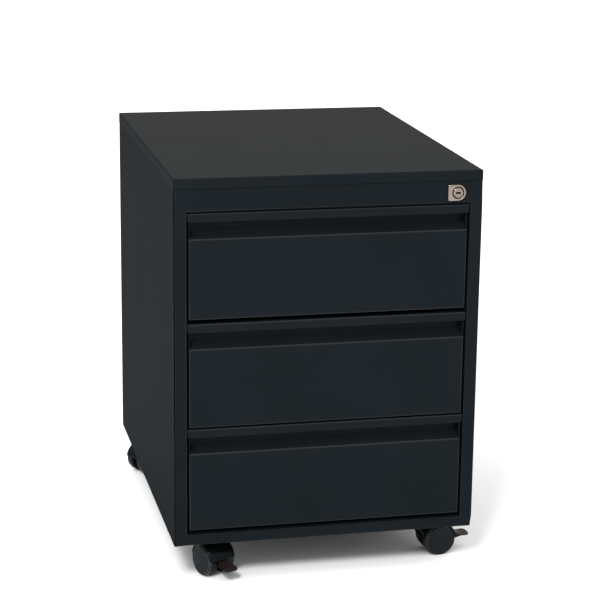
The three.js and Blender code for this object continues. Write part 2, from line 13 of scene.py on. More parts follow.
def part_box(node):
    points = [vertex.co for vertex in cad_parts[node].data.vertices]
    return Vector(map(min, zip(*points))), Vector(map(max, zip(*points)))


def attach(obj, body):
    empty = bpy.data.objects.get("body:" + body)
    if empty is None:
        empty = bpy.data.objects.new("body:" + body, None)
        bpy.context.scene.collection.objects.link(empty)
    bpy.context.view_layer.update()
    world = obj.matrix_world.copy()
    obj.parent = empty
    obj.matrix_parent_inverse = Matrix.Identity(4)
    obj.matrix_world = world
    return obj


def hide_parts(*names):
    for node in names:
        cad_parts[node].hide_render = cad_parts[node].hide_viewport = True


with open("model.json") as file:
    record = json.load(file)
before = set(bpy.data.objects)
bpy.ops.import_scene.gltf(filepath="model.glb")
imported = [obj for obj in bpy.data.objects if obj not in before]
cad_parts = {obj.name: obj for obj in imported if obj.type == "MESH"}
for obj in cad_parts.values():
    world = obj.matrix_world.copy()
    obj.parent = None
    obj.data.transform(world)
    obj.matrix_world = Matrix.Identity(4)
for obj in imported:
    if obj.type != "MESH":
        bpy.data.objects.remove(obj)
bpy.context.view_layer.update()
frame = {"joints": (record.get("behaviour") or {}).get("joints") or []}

MM = 0.001
TAU = 2 * math.pi
SHEET = 1.2
BEND = 1.5
BEND_SEGMENTS = 4
FLATTEST_BEND = math.radians(10)
CUT_EDGE = 0.2
ON_AXIS = 0.01
JOINTS = {joint["name"]: joint for joint in frame["joints"]}
DRAWERS = (1, 2, 3)
SIDES = {"left": -1, "right": 1}


def box_mm(node):
    """The lowest and highest corner of a CAD node, in millimetres."""
    low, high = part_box(node)
    return Vector(low) / MM, Vector(high) / MM


# ------------------------------------------------------------------ materials
NOISE_LOW = 0.3
NOISE_HIGH = 0.7


def new_material(name):
    """An empty node material: the material, its nodes and links, and its shader."""
    material = bpy.data.materials.new(name)
    material.use_nodes = True
    nodes = material.node_tree.nodes
    return material, nodes, material.node_tree.links, nodes["Principled BSDF"]


def noise(nodes, links, scale, detail, stretch=(1, 1, 1)):
    """A noise texture in the piece's own space; scale is in features per metre."""
    place = nodes.new("ShaderNodeTexCoord")
    mapping = nodes.new("ShaderNodeMapping")
    mapping.inputs["Scale"].default_value = stretch
    texture = nodes.new("ShaderNodeTexNoise")
    texture.inputs["Scale"].default_value = scale
    texture.inputs["Detail"].default_value = detail
    links.new(place.outputs["Object"], mapping.inputs["Vector"])
    links.new(mapping.outputs["Vector"], texture.inputs["Vector"])
    return texture


def scaled(colour, factor):
    return tuple(channel * factor for channel in colour)


def blended(nodes, links, texture, colour, swing):
    """A colour ramp over a texture: the colour made darker and lighter by a fraction."""
    ramp = nodes.new("ShaderNodeValToRGB")
    dark, light = ramp.color_ramp.elements
    dark.position = NOISE_LOW
    light.position = NOISE_HIGH
    dark.color = (*scaled(colour, 1 - swing), 1)
    light.color = (*scaled(colour, 1 + swing), 1)
    links.new(texture.outputs["Fac"], ramp.inputs["Fac"])
    return ramp


def ranged(nodes, links, texture, low, high):
    """A texture's value mapped to a number between low and high."""
    span = nodes.new("ShaderNodeMapRange")
    span.inputs["From Min"].default_value = NOISE_LOW
    span.inputs["From Max"].default_value = NOISE_HIGH
    span.inputs["To Min"].default_value = low
    span.inputs["To Max"].default_value = high
    links.new(texture.outputs["Fac"], span.inputs["Value"])
    return span


def bumped(nodes, links, shader, layers):
    """Bump layers of (texture, strength, height in metres), one after another, on the shader's normal."""
    last = None
    for texture, strength, height in layers:
        bump = nodes.new("ShaderNodeBump")
        bump.inputs["Strength"].default_value = strength
        bump.inputs["Distance"].default_value = height
        links.new(texture.outputs["Fac"], bump.inputs["Height"])
        if last:
            links.new(last.outputs["Normal"], bump.inputs["Normal"])
        last = bump
    links.new(last.outputs["Normal"], shader.inputs["Normal"])


def powder_coat(name, colour, gloss_layer=0.06, roughness=0.6):
    """Baked powder paint: a soft orange peel under a fine grain, with slight changes of tone."""
    material, nodes, links, shader = new_material(name)
    tone = noise(nodes, links, scale=9, detail=3)
    ramp = blended(nodes, links, tone, colour, swing=0.07)
    links.new(ramp.outputs["Color"], shader.inputs["Base Color"])
    grain = noise(nodes, links, scale=1500, detail=2)
    sheen = ranged(nodes, links, grain, roughness - 0.05, roughness + 0.07)
    links.new(sheen.outputs["Result"], shader.inputs["Roughness"])
    shader.inputs["Specular IOR Level"].default_value = 0.0
    shader.inputs["Coat Weight"].default_value = gloss_layer
    shader.inputs["Coat Roughness"].default_value = 0.3
    peel = noise(nodes, links, scale=380, detail=2)
    bumped(nodes, links, shader, [(peel, 0.12, 0.0004), (grain, 0.18, 0.00012)])
    return material


def brushed_metal(name, colour, roughness, stretch=(1, 1, 1), mottling=0.08):
    """Plated steel: faint streaks along the sheet and a mottled crystal tone."""
    material, nodes, links, shader = new_material(name)
    tone = noise(nodes, links, scale=120, detail=5)
    ramp = blended(nodes, links, tone, colour, swing=mottling)
    links.new(ramp.outputs["Color"], shader.inputs["Base Color"])
    streak = noise(nodes, links, scale=900, detail=4, stretch=stretch)
    gloss = ranged(nodes, links, streak, roughness - 0.07, roughness + 0.09)
    links.new(gloss.outputs["Result"], shader.inputs["Roughness"])
    shader.inputs["Metallic"].default_value = 1.0
    bumped(nodes, links, shader, [(streak, 0.06, 0.0001)])
    return material


def moulded_plastic(name, colour, roughness, gloss_layer=0.25):
    """Moulded nylon: an even tone with a faint flow pattern and a slightly uneven gloss."""
    material, nodes, links, shader = new_material(name)
    flow = noise(nodes, links, scale=60, detail=4)
    ramp = blended(nodes, links, flow, colour, swing=0.15)
    links.new(ramp.outputs["Color"], shader.inputs["Base Color"])
    skin = noise(nodes, links, scale=1100, detail=3)
    gloss = ranged(nodes, links, skin, roughness - 0.06, roughness + 0.08)
    links.new(gloss.outputs["Result"], shader.inputs["Roughness"])
    shader.inputs["Specular IOR Level"].default_value = 0.0
    shader.inputs["Coat Weight"].default_value = gloss_layer
    shader.inputs["Coat Roughness"].default_value = 0.6 * roughness
    bumped(nodes, links, shader, [(skin, 0.08, 0.00015)])
    return material


PAINT_COLOUR = (0.0052, 0.0074, 0.0091)
TRAY_COLOUR = (0.0072, 0.0092, 0.0106)
WHEEL_COLOUR = (0.0035, 0.0058, 0.0072)
FRONT_FOLD_GLOSS = 0.4
SHELL_FOLD_GLOSS = 0.24
SHELL_PAINT = powder_coat("shell_powder_coat", PAINT_COLOUR, gloss_layer=0.048)
SHELL_FOLD = powder_coat("shell_powder_coat_fold", PAINT_COLOUR, SHELL_FOLD_GLOSS)
COVER_PAINT = powder_coat("cover_powder_coat", PAINT_COLOUR)
FRONT_PAINT = powder_coat("front_powder_coat", PAINT_COLOUR)
FRONT_FOLD = powder_coat("front_powder_coat_fold", PAINT_COLOUR, FRONT_FOLD_GLOSS)
TRAY_PAINT = powder_coat("tray_powder_coat", TRAY_COLOUR, roughness=0.55)
FOLDS = {SHELL_PAINT.name: SHELL_FOLD, FRONT_PAINT.name: FRONT_FOLD}
ZINC = brushed_metal("bright_zinc", (0.60, 0.61, 0.62), 0.36, stretch=(1, 0.05, 1))
NICKEL = brushed_metal("satin_nickel", (0.25, 0.205, 0.18), 0.28, stretch=(1, 1, 0.15), mottling=0.06)
# Near-black steel for the slug in the lock's keyway: painted shade, not a colour the lock has.
KEYWAY_SHADE = brushed_metal("keyway_painted_shade", (0.02, 0.018, 0.016), 0.5)
WHITE_NYLON = moulded_plastic("natural_nylon", (0.62, 0.60, 0.55), 0.42)
BLACK_NYLON = moulded_plastic("black_nylon", (0.0022, 0.0034, 0.0038), 0.34, gloss_layer=0.15)
WHEEL_PLASTIC = moulded_plastic("wheel_plastic", WHEEL_COLOUR, 0.30)
WHEEL_RIM = moulded_plastic("wheel_rim", WHEEL_COLOUR, 0.22, gloss_layer=1.0)
PEDAL_PLASTIC = moulded_plastic("pedal_plastic", (0.012, 0.0088, 0.0080), 0.34, gloss_layer=0.2)


# ------------------------------------------------------------------ making pieces
def as_object(name, bm, material):
    """A mesh built in millimetres becomes an object in metres, shaded smooth."""
    bm.transform(Matrix.Scale(MM, 4))
    mesh = bpy.data.meshes.new(name)
    bm.to_mesh(mesh)
    bm.free()
    mesh.materials.append(material)
    for polygon in mesh.polygons:
        polygon.use_smooth = True
    piece = bpy.data.objects.new(name, mesh)
    bpy.context.scene.collection.objects.link(piece)
    return piece


def place(piece, body, slot, *nodes):
    """The piece rides on a body and stands for the CAD nodes, which are hidden. The slot is not used."""
    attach(piece, body)
    if nodes:
        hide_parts(*nodes)
    return piece


def weighted(piece):
    """Keeps flat faces flat in the shading of a smooth piece."""
    modifier = piece.modifiers.new("flat faces stay flat", "WEIGHTED_NORMAL")
    modifier.keep_sharp = True
    return piece


def eased(piece, width=0.25, segments=2, angle=50):
    """Rounds the cut edges of a piece; width is in millimetres."""
    bevel = piece.modifiers.new("eased edges", "BEVEL")
    bevel.limit_method = "ANGLE"
    bevel.angle_limit = math.radians(angle)
    bevel.width = width * MM
    bevel.segments = segments
    return weighted(piece)


class Sheet:
    """Flat faces that become a folded sheet: shared edges are bent and the sheet is given its thickness."""

    def __init__(self):
        self.bm = bmesh.new()
        self.corners = {}

    def vertex(self, place):
        key = tuple(round(value, 3) for value in place)
        if key not in self.corners:
            self.corners[key] = self.bm.verts.new(key)
        return self.corners[key]

    def face(self, *places):
        return self.bm.faces.new([self.vertex(place) for place in places])

    def strip(self, section, low, high):
        """Faces along X from low to high, following a section of (y, z) points."""
        for start, end in zip(section, section[1:]):
            self.face((low, *start), (high, *start), (high, *end), (low, *end))

    def finish(self, name, material, bend=BEND, thickness=SHEET, tight=lambda edge: 1.0):
        """Every edge between two planes is bent to a radius of bend times tight(edge). For the shell and
        front paints, the paint is glossier where it was pulled round a bend."""
        self.bm.normal_update()
        weight = self.bm.edges.layers.float.new("bevel_weight_edge")
        for edge in self.bm.edges:
            if len(edge.link_faces) == 2 and edge.calc_face_angle() > FLATTEST_BEND:
                edge[weight] = tight(edge)
        piece = as_object(name, self.bm, material)
        bends = piece.modifiers.new("bends", "BEVEL")
        bends.limit_method = "WEIGHT"
        bends.width = bend * MM
        bends.segments = BEND_SEGMENTS
        bends.use_clamp_overlap = False
        if material.name in FOLDS:
            piece.data.materials.append(FOLDS[material.name])
            bends.material = 1
        solid = piece.modifiers.new("thickness", "SOLIDIFY")
        solid.thickness = thickness * MM
        solid.offset = -1
        solid.use_even_offset = True
        return eased(piece, CUT_EDGE)


def turned(bm, profile, centre, axis, sides=64, outline=None):
    """Rings about an axis. Each profile entry is (radius, height), or (radius function, height)."""
    axis = Vector(axis).normalized()
    aside = axis.orthogonal().normalized() if outline is None else Vector(outline)
    across = axis.cross(aside)
    rings = []
    for radius, height in profile:
        ring = []
        for i in range(sides):
            angle = TAU * i / sides
            reach = radius(angle) if callable(radius) else radius
            spoke = aside * math.cos(angle) + across * math.sin(angle)
            ring.append(bm.verts.new(Vector(centre) + axis * height + spoke * reach))
        rings.append(ring)
    for lower, upper in zip(rings, rings[1:]):
        for i in range(sides):
            j = (i + 1) % sides
            bm.faces.new((lower[i], lower[j], upper[j], upper[i]))
    return rings


def capped(bm, rings):
    """Closes both ends of a body made of rings."""
    bm.faces.new(list(reversed(rings[0])))
    bm.faces.new(rings[-1])


def closed_ring(bm, rings):
    """Joins the last ring to the first, for a body with a bore."""
    first, last = rings[0], rings[-1]
    for i in range(len(first)):
        j = (i + 1) % len(first)
        bm.faces.new((last[i], last[j], first[j], first[i]))


def endwise(a, b, depth):
    """Draws an outline in Y and Z out along X."""
    return (depth, a, b)


def arc(centre, radius, start, end, steps=24):
    """Points from one angle to another, in degrees."""
    points = []
    for i in range(steps + 1):
        angle = math.radians(start + (end - start) * i / steps)
        points.append((centre[0] + radius * math.cos(angle), centre[1] + radius * math.sin(angle)))
    return points


def filleted(before, corner, after, radius, steps=10):
    """The points of an arc that joins two straight runs meeting at a corner."""
    corner = Vector(corner)
    into = (Vector(before) - corner).normalized()
    out = (Vector(after) - corner).normalized()
    half_angle = into.angle(out) / 2
    centre = corner + (into + out).normalized() * radius / math.sin(half_angle)
    reach = radius / math.tan(half_angle)
    start, end = (corner + way * reach - centre for way in (into, out))
    first = math.degrees(math.atan2(start.y, start.x))
    turn = math.degrees(-start.angle_signed(end))
    return arc(centre, radius, first, first + turn, steps)


def prism(bm, outline, low, high, axes):
    """A closed outline drawn out from low to high; axes maps (a, b, depth) to a place."""
    start = [bm.verts.new(axes(a, b, low)) for a, b in outline]
    end = [bm.verts.new(axes(a, b, high)) for a, b in outline]
    for i in range(len(outline)):
        j = (i + 1) % len(outline)
        bm.faces.new((start[i], start[j], end[j], end[i]))
    bm.faces.new(list(reversed(start)))
    bm.faces.new(end)


def sideways(a, b, depth):
    """Draws an outline in X and Z out along the axle."""
    return (a, depth, b)


def upright(a, b, depth):
    """Draws an outline in X and Y up along Z."""
    return (a, b, depth)


def hexagon(across):
    """The radius, by angle, of a hexagon with the given distance from its centre to a flat."""
    def radius(angle):
        return across / math.cos((angle + math.pi / 6) % (math.pi / 3) - math.pi / 6)
    return radius


def outwards(bm):
    """Turns every face of a closed body to look outwards."""
    bmesh.ops.recalc_face_normals(bm, faces=bm.faces)
    return bm


# ------------------------------------------------------------------ shell
cover_low, cover_high = box_mm("top_cover")
panel_low, panel_high = box_mm("left_side_panel")
header_low = box_mm("header_rail")[0]
pan_low, pan_high = box_mm("base_pan")
BODY_LEFT = panel_low.x
BODY_FRONT = panel_low.y
BODY_BACK = panel_high.y
OPENING_LEFT = panel_high.x
RETURN = 15.5
REAR_RETURN = 12.5
COVER_BEND = 2.2
BASE_WALL = 18
BASE_SETBACK = 1


def grid_faces(sheet, columns, rows, y, skip):
    """Coplanar faces looking to -Y over a grid of X and Z lines, with one cell left open."""
    for i, (left, right) in enumerate(zip(columns, columns[1:])):
        for j, (low, high) in enumerate(zip(rows, rows[1:])):
            if (i, j) != skip:
                sheet.face((left, y, low), (right, y, low), (right, y, high), (left, y, high))


def front_frame():
    """Posts, header and bottom rail as one welded face, with the side sheets folded from it. The side,
    rear and opening faces are wound the other way from the front, so their thickness lies on the far side
    of the drawn planes."""
    sheet = Sheet()
    rail_top = pan_low.z + OPENING_LEFT - BODY_LEFT
    columns = [BODY_LEFT, OPENING_LEFT, -OPENING_LEFT, -BODY_LEFT]
    rows = [panel_low.z, rail_top, header_low.z, panel_high.z]
    front, back = BODY_FRONT, BODY_FRONT + RETURN
    grid_faces(sheet, columns, rows, front, (1, 1))
    left, right, low, high = columns[1], columns[2], rows[1], rows[2]
    sheet.face((left, front, low), (left, front, high), (left, back, high), (left, back, low))
    sheet.face((right, front, high), (right, front, low), (right, back, low), (right, back, high))
    sheet.face((right, front, low), (left, front, low), (left, back, low), (right, back, low))
    sheet.face((left, front, high), (right, front, high), (right, back, high), (left, back, high))
    for low, high in zip(rows, rows[1:]):
        for x, turn in ((BODY_LEFT, 1), (-BODY_LEFT, -1)):
            side = [(x, front, high), (x, BODY_BACK, high), (x, BODY_BACK, low), (x, front, low)]
            rear_x = x + turn * REAR_RETURN
            rear = [(x, BODY_BACK, high), (rear_x, BODY_BACK, high),
                    (rear_x, BODY_BACK, low), (x, BODY_BACK, low)]
            sheet.face(*side[::-turn])
            sheet.face(*rear[::-turn])
    for left, right in zip(columns, columns[1:]):
        sheet.face((left, front, rows[0]), (left, back, rows[0]), (right, back, rows[0]),
                   (right, front, rows[0]))

    def tight(edge):
        """The returns meet in plain mitres at the corners of the opening."""
        start, end = (vertex.co for vertex in edge.verts)
        within = abs(start.x) < abs(BODY_LEFT) - 1
        return 0.0 if within and start.x == end.x and start.z == end.z else 1.0

    piece = sheet.finish("shell_frame", SHELL_PAINT, tight=tight)
    return place(piece, "cabinet", "shell_paint", "left_side_panel", "right_side_panel", "header_rail")


def top_cover():
    """The cover: one sheet with a skirt all round."""
    sheet = Sheet()
    (x0, y0, z0), (x1, y1, z1) = cover_low, cover_high
    ring = [(x0, y0), (x1, y0), (x1, y1), (x0, y1)]
    sheet.face(*[(x, y, z1) for x, y in ring])
    for (ax, ay), (bx, by) in zip(ring, ring[1:] + ring[:1]):
        sheet.face((ax, ay, z0), (bx, by, z0), (bx, by, z1), (ax, ay, z1))
    piece = sheet.finish("cover_sheet", COVER_PAINT, bend=COVER_BEND)
    return place(piece, "cabinet", "shell_paint", "top_cover")


def base_floor():
    """The floor of the shell with its upturned edges."""
    sheet = Sheet()
    x0, x1 = pan_low.x, pan_high.x
    y0, y1 = BODY_FRONT + RETURN + BASE_SETBACK, pan_high.y
    z0, z1 = pan_low.z, pan_low.z + BASE_WALL
    ring = [(x0, y0), (x1, y0), (x1, y1), (x0, y1)]
    sheet.face(*[(x, y, z0) for x, y in reversed(ring)])
    for (ax, ay), (bx, by) in list(zip(ring, ring[1:] + ring[:1]))[1:]:
        sheet.face((ax, ay, z0), (bx, by, z0), (bx, by, z1), (ax, ay, z1))
    piece = sheet.finish("base_floor", SHELL_PAINT)
    return place(piece, "cabinet", "shell_paint", "base_pan")


def back_sheet():
    """The back panel with its top edge folded forward."""
    low, high = box_mm("back_panel")
    sheet = Sheet()
    section = [(low.y, high.z), (high.y, high.z), (high.y, low.z)]
    sheet.strip(section[::-1], high.x, low.x)
    piece = sheet.finish("back_sheet", SHELL_PAINT)
    return place(piece, "cabinet", "shell_paint", "back_panel")


front_frame()
top_cover()
base_floor()
back_sheet()


# ------------------------------------------------------------------ drawers
STRIP_HEIGHT = 13
GRIP_BACK_BOTTOM = 31
GRIP_LIP_TOP = 38
FRONT_DEPTH = 18
PAN_INSET = 0.4
STRIP_REACH = 1.5
STRIP_CORNER = 1.8
CHANNEL_RADIUS = 8
FRONT_BEND = 1.7
TOP_TIGHTNESS = 0.35
PLATE_INSET = 0.25
LIP_SETBACK = 0.8
LIP_DROP = 0.4
ROOF_GAP = 0.1
HEM_WIDTH = 2.3
HEM_DEPTH = 8
HEM_TIGHTNESS = 0.5
TRAY_SHEET = 1.0
TRAY_BEND = 2.0
NEAR = 0.5
TINY = 0.01


def drawer_front(number):
    """The folded front: a pan, a sloped lip, the back of the grip channel, its top and the strip over it."""
    low, high = box_mm(f"drawer_front_{number}")
    front, top, bottom = low.y, high.z, low.z
    x0, x1 = low.x - STRIP_REACH, high.x + STRIP_REACH
    pan0, pan1 = low.x + PAN_INSET, high.x - PAN_INSET
    back = front + FRONT_DEPTH
    lip = (front, top - GRIP_LIP_TOP)
    fold = (back, top - GRIP_BACK_BOTTOM)
    roof = top - SHEET
    behind = front + SHEET
    drop = top - STRIP_HEIGHT
    sheet = Sheet()
    channel = filleted(lip, fold, (back, roof), CHANNEL_RADIUS)
    sheet.strip([(back, bottom), (front, bottom), lip, *channel], pan0, pan1)
    rise = channel[-1]
    sheet.face((pan0, *rise), (pan1, *rise), (x1, back, roof), (x0, back, roof))
    sheet.face((x0, back, roof), (x1, back, roof), (x1, behind, roof), (x0, behind, roof))
    sheet.face((x0, behind, roof), (x1, behind, roof), (x1, behind, drop + STRIP_CORNER),
               (x1 - STRIP_CORNER, behind, drop), (x0 + STRIP_CORNER, behind, drop),
               (x0, behind, drop + STRIP_CORNER))
    root = channel[0]
    end = [(back, bottom), (front, bottom), lip, root, (back, root[1])]
    sheet.face(*[(pan0, y, z) for y, z in end])
    sheet.face(*[(pan1, y, z) for y, z in reversed(end)])

    def tight(edge):
        """The strip's top fold is sharper, and the ends of the channel meet its sheet without a bend."""
        places = [vertex.co for vertex in edge.verts]
        if min(place.z for place in places) > roof - NEAR:
            return TOP_TIGHTNESS
        at_end = all(abs(abs(place.x) - pan1) < TINY for place in places)
        if at_end and max(place.y for place in places) > behind:
            return 0.0
        return 1.0

    piece = sheet.finish(f"drawer_face_{number}", FRONT_PAINT, FRONT_BEND, tight=tight)
    place(piece, f"drawer_{number}", "front_paint", f"drawer_front_{number}")
    ends = bmesh.new()
    for side, x in ((1, pan0), (-1, pan1)):
        inner = x + side * PLATE_INSET
        corners = [(front + LIP_SETBACK, lip[1] - LIP_DROP), *channel, (back, roof - ROOF_GAP),
                   (behind + ROOF_GAP, roof - ROOF_GAP)]
        prism(ends, corners, inner, inner + side * SHEET, endwise)
    plates = eased(as_object(f"grip_ends_{number}", outwards(ends), FRONT_PAINT), 0.3)
    place(plates, f"drawer_{number}", "front_paint")


def drawer_tray(number):
    """The tray: one sheet box with a hem folded over inside its top edge."""
    low, high = box_mm(f"drawer_tray_{number}")
    floor, rim = low.z, high.z
    y0, y1 = low.y, high.y
    half = -low.x

    def ring(inset, z):
        return [(-half + inset, y0 + inset, z), (half - inset, y0 + inset, z),
                (half - inset, y1 - inset, z), (-half + inset, y1 - inset, z)]

    sheet = Sheet()
    levels = [ring(0, floor), ring(0, rim), ring(HEM_WIDTH, rim), ring(HEM_WIDTH, rim - HEM_DEPTH)]
    sheet.face(*reversed(levels[0]))
    for lower, upper in zip(levels, levels[1:]):
        for i in range(4):
            j = (i + 1) % 4
            sheet.face(lower[i], lower[j], upper[j], upper[i])

    def tight(edge):
        """The hem is folded sharper than the corners."""
        return HEM_TIGHTNESS if min(vertex.co.z for vertex in edge.verts) > rim - NEAR else 1.0

    piece = sheet.finish(f"tray_{number}", TRAY_PAINT, TRAY_BEND, TRAY_SHEET, tight)
    place(piece, f"drawer_{number}", "tray_paint", f"drawer_tray_{number}")


for number in DRAWERS:
    drawer_front(number)
    drawer_tray(number)


# ------------------------------------------------------------------ runners and rollers
TRACK_WEB = 211.8
TRACK_INNER = 200
TRACK_HEIGHT = 16.2
OPEN_TRACK_BACK = -236
RUNNER_BEND = 0.9
SLIDE_HEIGHT = 20
CATCH_SPAN = (198, 207.5)
CATCH_CORNER = 3
CATCH_SEAT = 0.6
PIN_R = 2
PIN_SIDES = 24
ROLLER_R = 6.5
ROLLER_BORE = 2.3
ROLLER_HALF = 3.5


def mirrored(side, place_at):
    """A place drawn on the right-hand side, moved to the given side."""
    x, y, z = place_at
    return (side * x, y, z)


def cabinet_runner(side_name, number):
    """The fixed channel, open above its roller, with a foot at each end and a riveted pin."""
    side = SIDES[side_name]
    name = f"cabinet_runner_{side_name}_{number}"
    low, high = box_mm(name)
    base = low.z
    y0, y1 = low.y + SHEET, high.y - SHEET
    top = base + TRACK_HEIGHT
    foot = max(abs(low.x), abs(high.x))
    sheet = Sheet()

    def face(*places):
        points = [mirrored(side, point) for point in places]
        sheet.face(*(points if side > 0 else reversed(points)))

    web = TRACK_WEB
    for start, end in ((y0, OPEN_TRACK_BACK), (OPEN_TRACK_BACK, y1)):
        face((TRACK_INNER, start, base), (TRACK_INNER, end, base), (web, end, base), (web, start, base))
        face((web, start, base), (web, end, base), (web, end, top), (web, start, top))
    face((web, OPEN_TRACK_BACK, top), (web, y1, top), (TRACK_INNER, y1, top),
         (TRACK_INNER, OPEN_TRACK_BACK, top))
    face((web, y0, base), (web, y0, top), (foot, y0, top), (foot, y0, base))
    face((web, y1, base), (foot, y1, base), (foot, y1, top), (web, y1, top))
    piece = sheet.finish(f"fixed_runner_{side_name}_{number}", ZINC, RUNNER_BEND)
    place(piece, "cabinet", "zinc_steel", name)
    pin(f"fixed_pin_{side_name}_{number}", JOINTS[f"{name.replace('runner', 'roller')}_spin"],
        side, (web, TRACK_INNER), "cabinet")


def drawer_runner(side_name, number):
    """The moving angle on the tray's side: a flange over the fixed roller, a catch at its front end and
    a pin at its rear."""
    side = SIDES[side_name]
    name = f"drawer_runner_{side_name}_{number}"
    low, high = box_mm(name)
    inner, outer = sorted((abs(low.x), abs(high.x)))
    top = low.z + SLIDE_HEIGHT
    sheet = Sheet()

    def face(*places):
        points = [mirrored(side, point) for point in places]
        sheet.face(*(points if side > 0 else reversed(points)))

    face((inner, low.y, low.z), (inner, low.y, top), (inner, high.y, top), (inner, high.y, low.z))
    face((inner, low.y, top), (outer, low.y, top), (outer, high.y, top), (inner, high.y, top))
    piece = sheet.finish(f"moving_runner_{side_name}_{number}", ZINC, RUNNER_BEND)
    place(piece, f"drawer_{number}", "zinc_steel", name)
    near, far = CATCH_SPAN
    corner = CATCH_CORNER
    outline = [(near, top - CATCH_SEAT), (far, top - CATCH_SEAT)]
    outline += arc((far - corner, high.z - corner), corner, 0, 90, 6)
    outline += arc((near + corner, high.z - corner), corner, 90, 180, 6)
    tab = bmesh.new()
    prism(tab, [(side * x, z) for x, z in outline], low.y, low.y + SHEET, sideways)
    catch = eased(as_object(f"catch_{side_name}_{number}", outwards(tab), ZINC))
    place(catch, f"drawer_{number}", "zinc_steel")
    pin(f"moving_pin_{side_name}_{number}", JOINTS[f"{name.replace('runner', 'roller')}_spin"],
        side, (inner + SHEET, outer), f"drawer_{number}")


def pin(name, joint, side, reach, body):
    """A roller's pin with a rounded head at its free end and a rivet at its root."""
    root, free = reach
    outward = 1 if free > root else -1
    length = abs(free - root)
    profile = [(ON_AXIS, -0.2), (PIN_R + 1.2, -0.2), (PIN_R + 1.2, 0.5), (PIN_R, 0.9), (PIN_R, length - 0.9),
               (PIN_R + 0.25, length - 0.7), (PIN_R + 0.2, length - 0.2), (PIN_R - 0.5, length),
               (ON_AXIS, length)]
    y, z = joint["pos_m"][1] / MM, joint["pos_m"][2] / MM
    bm = bmesh.new()
    capped(bm, turned(bm, profile, (side * root, y, z), (side * outward, 0, 0), PIN_SIDES))
    place(weighted(as_object(name, outwards(bm), ZINC)), body, "zinc_steel")


def roller(node):
    """A nylon wheel with a hub boss, a dished side and a softly crowned tread."""
    joint = JOINTS[f"{node}_spin"]
    centre = Vector(joint["pos_m"]) / MM
    half = ROLLER_HALF
    side = [(ROLLER_BORE, half), (ROLLER_BORE + 1.1, half), (ROLLER_BORE + 1.3, half - 0.6),
            (ROLLER_R - 1.3, half - 0.6), (ROLLER_R - 1.1, half - 0.05), (ROLLER_R - 0.5, half - 0.1),
            (ROLLER_R - 0.08, half - 0.7)]
    profile = [(radius, -height) for radius, height in side]
    profile += [(ROLLER_R, 0)]
    profile += [(radius, height) for radius, height in reversed(side)]
    bm = bmesh.new()
    closed_ring(bm, turned(bm, profile, centre, joint["axis"], 48))
    piece = weighted(as_object(f"{node}_wheel", outwards(bm), WHITE_NYLON))
    place(piece, joint["child"], "white_nylon", node)


for number in DRAWERS:
    for side_name in SIDES:
        cabinet_runner(side_name, number)
        drawer_runner(side_name, number)
        roller(f"cabinet_roller_{side_name}_{number}")
        roller(f"drawer_roller_{side_name}_{number}")


# ------------------------------------------------------------------ lock
LOCK = Vector(JOINTS["lock_turn"]["pos_m"]) / MM
LOCK_HALF = 12
BARREL_R = 9.5
PLUG_R = 7.5
BORE_R = 8.2
PLATE_THICKNESS = 3.2
PLATE_SIDES = 160
PLUG_SIDES = 128
KEYWAY = (3.6, 1.35)
KEYWAY_CHAMFER = 0.3
KEYWAY_SQUARENESS = 8
PLATE_SQUARENESS = 14
CAM_SPAN = (20.5, 22.5)
CAM_THROW = 10
CAM_ANGLE = math.pi / 4
CAM_BOSS_R = 6
CAM_EYE_R = 3.6
HOOK_CORNER = 3
HOOK_ROOT = 3
FORWARD = Vector((0, -1, 0))
RIGHT = (1, 0, 0)


def lobe(half_width, half_height, power):
    """The radius, by angle, of a box with rounded corners."""
    def radius(angle):
        wide = abs(math.cos(angle)) / half_width
        tall = abs(math.sin(angle)) / half_height
        return (wide ** power + tall ** power) ** (-1 / power)
    return radius


def lock_plate(inset):
    """The radius of the plate about the plug: round on the right, nearly square on the left."""
    reach = LOCK.x - box_mm("lock_housing")[0].x
    left = lobe(reach - inset, LOCK_HALF - inset, PLATE_SQUARENESS)

    def radius(angle):
        return left(angle) if math.cos(angle) < 0 else LOCK_HALF - inset
    return radius


